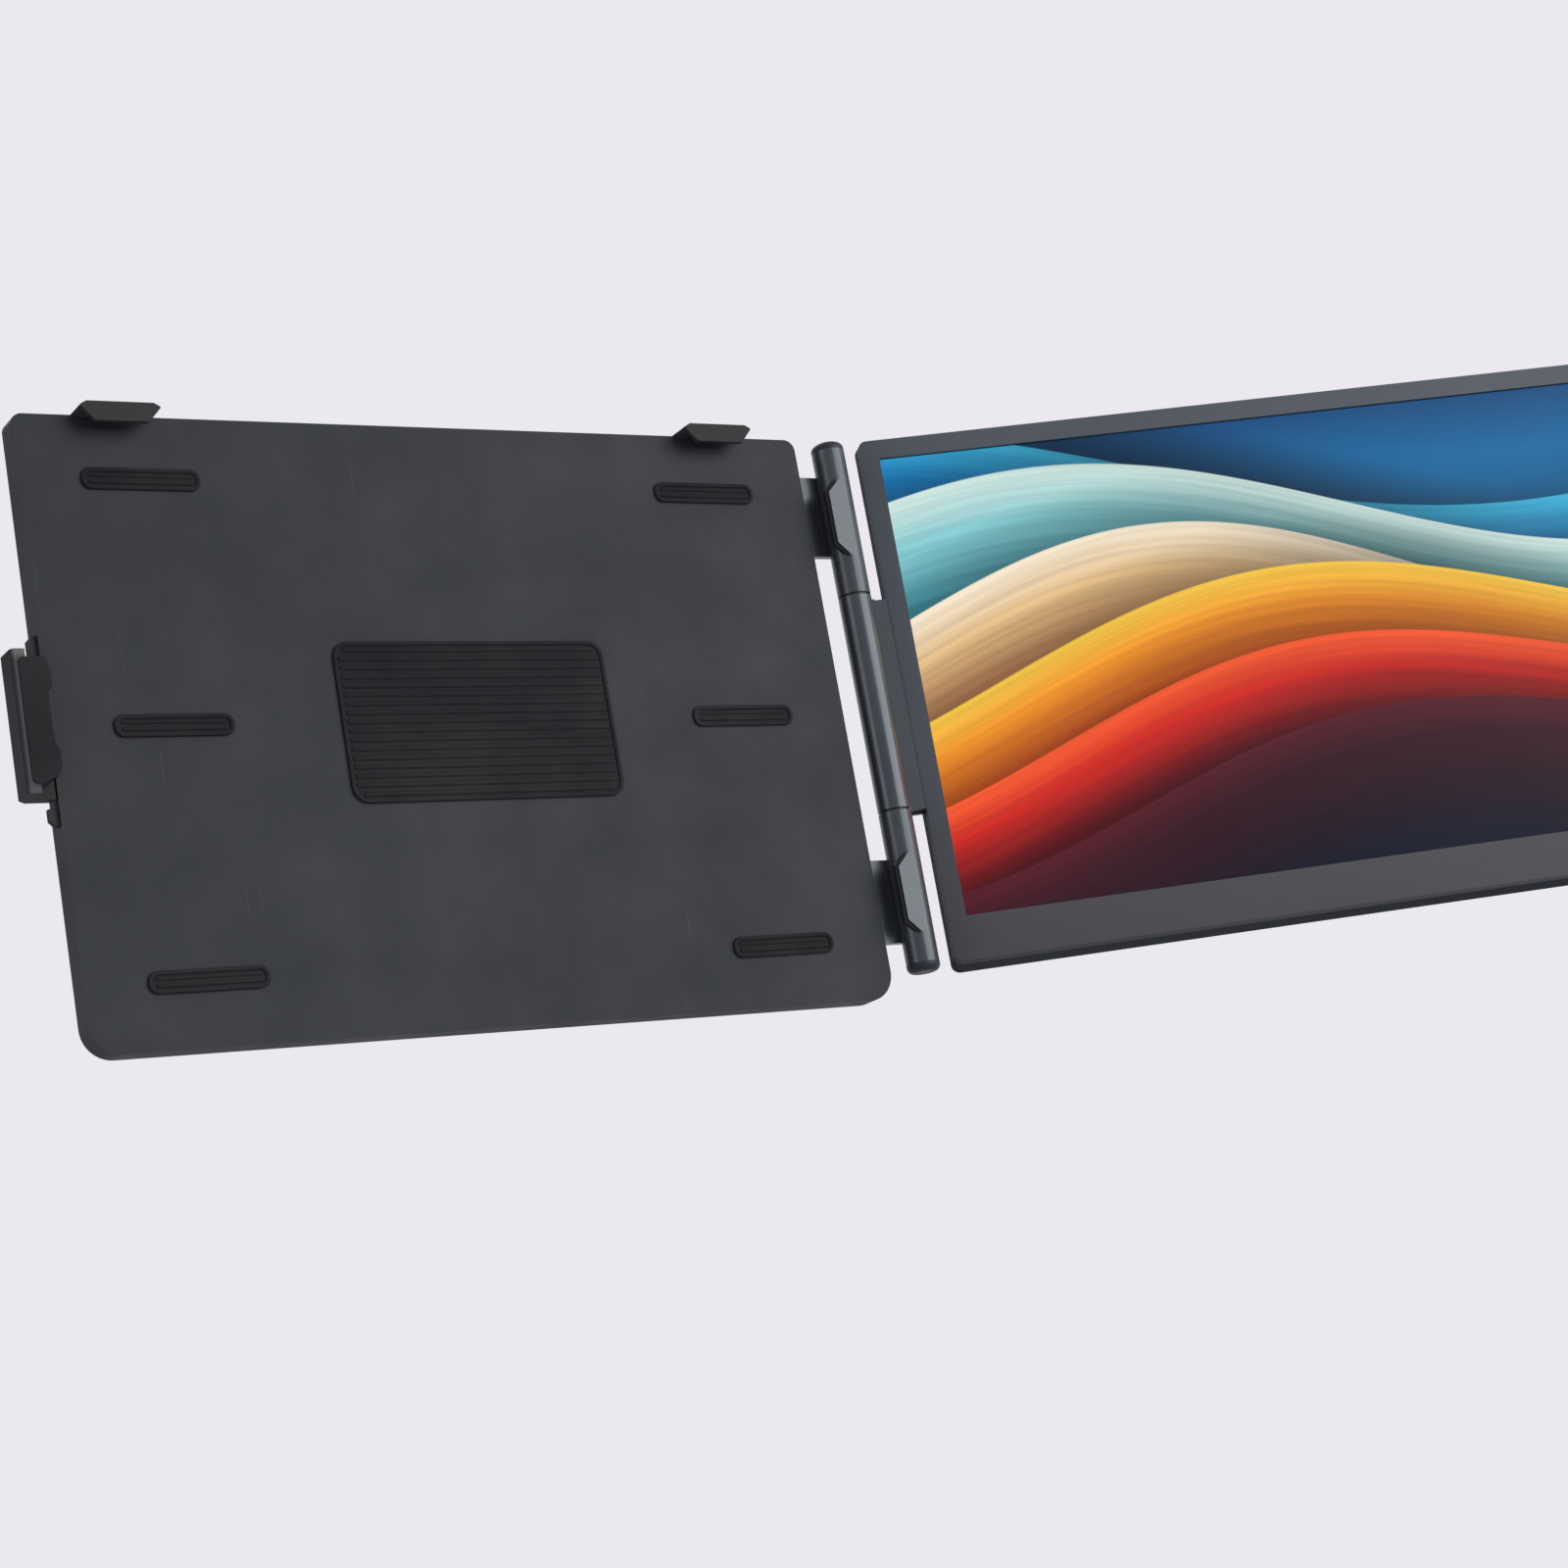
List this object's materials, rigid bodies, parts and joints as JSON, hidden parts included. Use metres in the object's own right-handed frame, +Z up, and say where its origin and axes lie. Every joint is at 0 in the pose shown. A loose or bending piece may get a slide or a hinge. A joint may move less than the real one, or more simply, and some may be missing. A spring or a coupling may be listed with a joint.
{
  "type": "laptop screen extender",
  "caption": "Back plate that clips onto a laptop's lid with sliding claws and carries an extra screen on a barrel hinge, with a folding kickstand.",
  "frame": {"origin": "centre of the seat pad's front face, which a laptop lid's back rests on", "axes": "+X across the lid towards the extra screen, +Y from the seat pad back through the plate (the user is on the -Y side), +Z up the lid"},
  "size_m": [0.6644, 0.127, 0.229],
  "materials": {
    "plate_plastic": "fine matte grain, dark grey",
    "claw_plastic": "satin black",
    "rubber_black": "soft matte",
    "hinge_metal": "satin dark grey over die-cast metal",
    "bezel_plastic": "fine matte grain, blue-grey",
    "housing_plastic": "fine matte grain, grey",
    "steel": "plain zinc-plated",
    "nylon_black": "smooth",
    "panel_black": "glossy black",
    "display_lit": "matte anti-glare film over a lit picture",
    "guide_clear": "clear diffuser",
    "led_yellow": "moulded LED package",
    "board_green": "solder mask",
    "flex_amber": "polyimide",
    "light_white": "frosted"
  },
  "bodies": {
    "base": {"plate_front_cover": "plate_plastic", "plate_back_cover": "plate_plastic", "lid_seat_pad": "rubber_black", "seat_strips": "rubber_black", "left_track": "nylon_black", "top_track_left": "nylon_black", "top_track_right": "nylon_black", "detent_springs": "steel", "plate_screws": "steel", "upper_knuckle": "hinge_metal", "lower_knuckle": "hinge_metal", "barrel_end_caps": "hinge_metal", "knuckle_screws": "steel", "fixed_claw_pads": "rubber_black"},
    "left_claw": {"left_arm": "claw_plastic", "left_jaw": "claw_plastic", "left_jaw_pad": "rubber_black", "left_jaw_screws": "steel"},
    "top_claw_left": {"top_arm_left": "claw_plastic", "top_jaw_left": "claw_plastic", "top_jaw_pad_left": "rubber_black"},
    "top_claw_right": {"top_arm_right": "claw_plastic", "top_jaw_right": "claw_plastic", "top_jaw_pad_right": "rubber_black"},
    "kickstand": {"stand_leg": "plate_plastic", "stand_pin": "steel", "stand_foot": "rubber_black"},
    "screen": {"hinge_link": "hinge_metal", "hinge_shaft": "steel", "hinge_washers": "nylon_black", "friction_discs": "steel", "shaft_nuts": "steel", "link_screws": "steel", "rear_housing": "housing_plastic", "front_bezel": "bezel_plastic", "display_film": "display_lit", "display_panel": "panel_black", "light_guide": "guide_clear", "led_strip": "led_yellow", "driver_board": "board_green", "panel_flex": "flex_amber", "usb_c_ports": "steel", "mini_hdmi_port": "steel", "key_board": "board_green", "key_switches": "steel", "status_light": "light_white", "speakers": "nylon_black", "housing_screws": "steel"},
    "power_button": {"power_button": "claw_plastic"},
    "plus_button": {"plus_button": "claw_plastic"},
    "minus_button": {"minus_button": "claw_plastic"}
  },
  "joints": [
    {"name": "screen_hinge", "type": "hinge", "parent": "base", "child": "screen", "pos_m": [0.172, -0.001, 0.0033], "axis": [0, 0, 1], "range_deg": [-158.6, 76.4]},
    {"name": "left_claw_slide", "type": "slide", "parent": "base", "child": "left_claw", "axis": [-1, 0, 0], "range_m": [0, 0.06]},
    {"name": "top_claw_left_slide", "type": "slide", "parent": "base", "child": "top_claw_left", "axis": [0, 0, 1], "range_m": [0, 0.03]},
    {"name": "top_claw_right_slide", "type": "slide", "parent": "base", "child": "top_claw_right", "axis": [0, 0, 1], "range_m": [0, 0.03]},
    {"name": "kickstand_hinge", "type": "hinge", "parent": "base", "child": "kickstand", "pos_m": [0.052, 0.0081, 0.006], "axis": [1, 0, 0], "range_deg": [0, 70]},
    {"name": "power_button_press", "type": "slide", "parent": "screen", "child": "power_button", "axis": [-0.9311, 0.3649, 0], "range_m": [0, 0.0006], "stiffness_N_per_m": 400, "springref_m": -0.001},
    {"name": "plus_button_press", "type": "slide", "parent": "screen", "child": "plus_button", "axis": [-0.9311, 0.3649, 0], "range_m": [0, 0.0006], "stiffness_N_per_m": 400, "springref_m": -0.001},
    {"name": "minus_button_press", "type": "slide", "parent": "screen", "child": "minus_button", "axis": [-0.9311, 0.3649, 0], "range_m": [0, 0.0006], "stiffness_N_per_m": 400, "springref_m": -0.001}
  ]
}
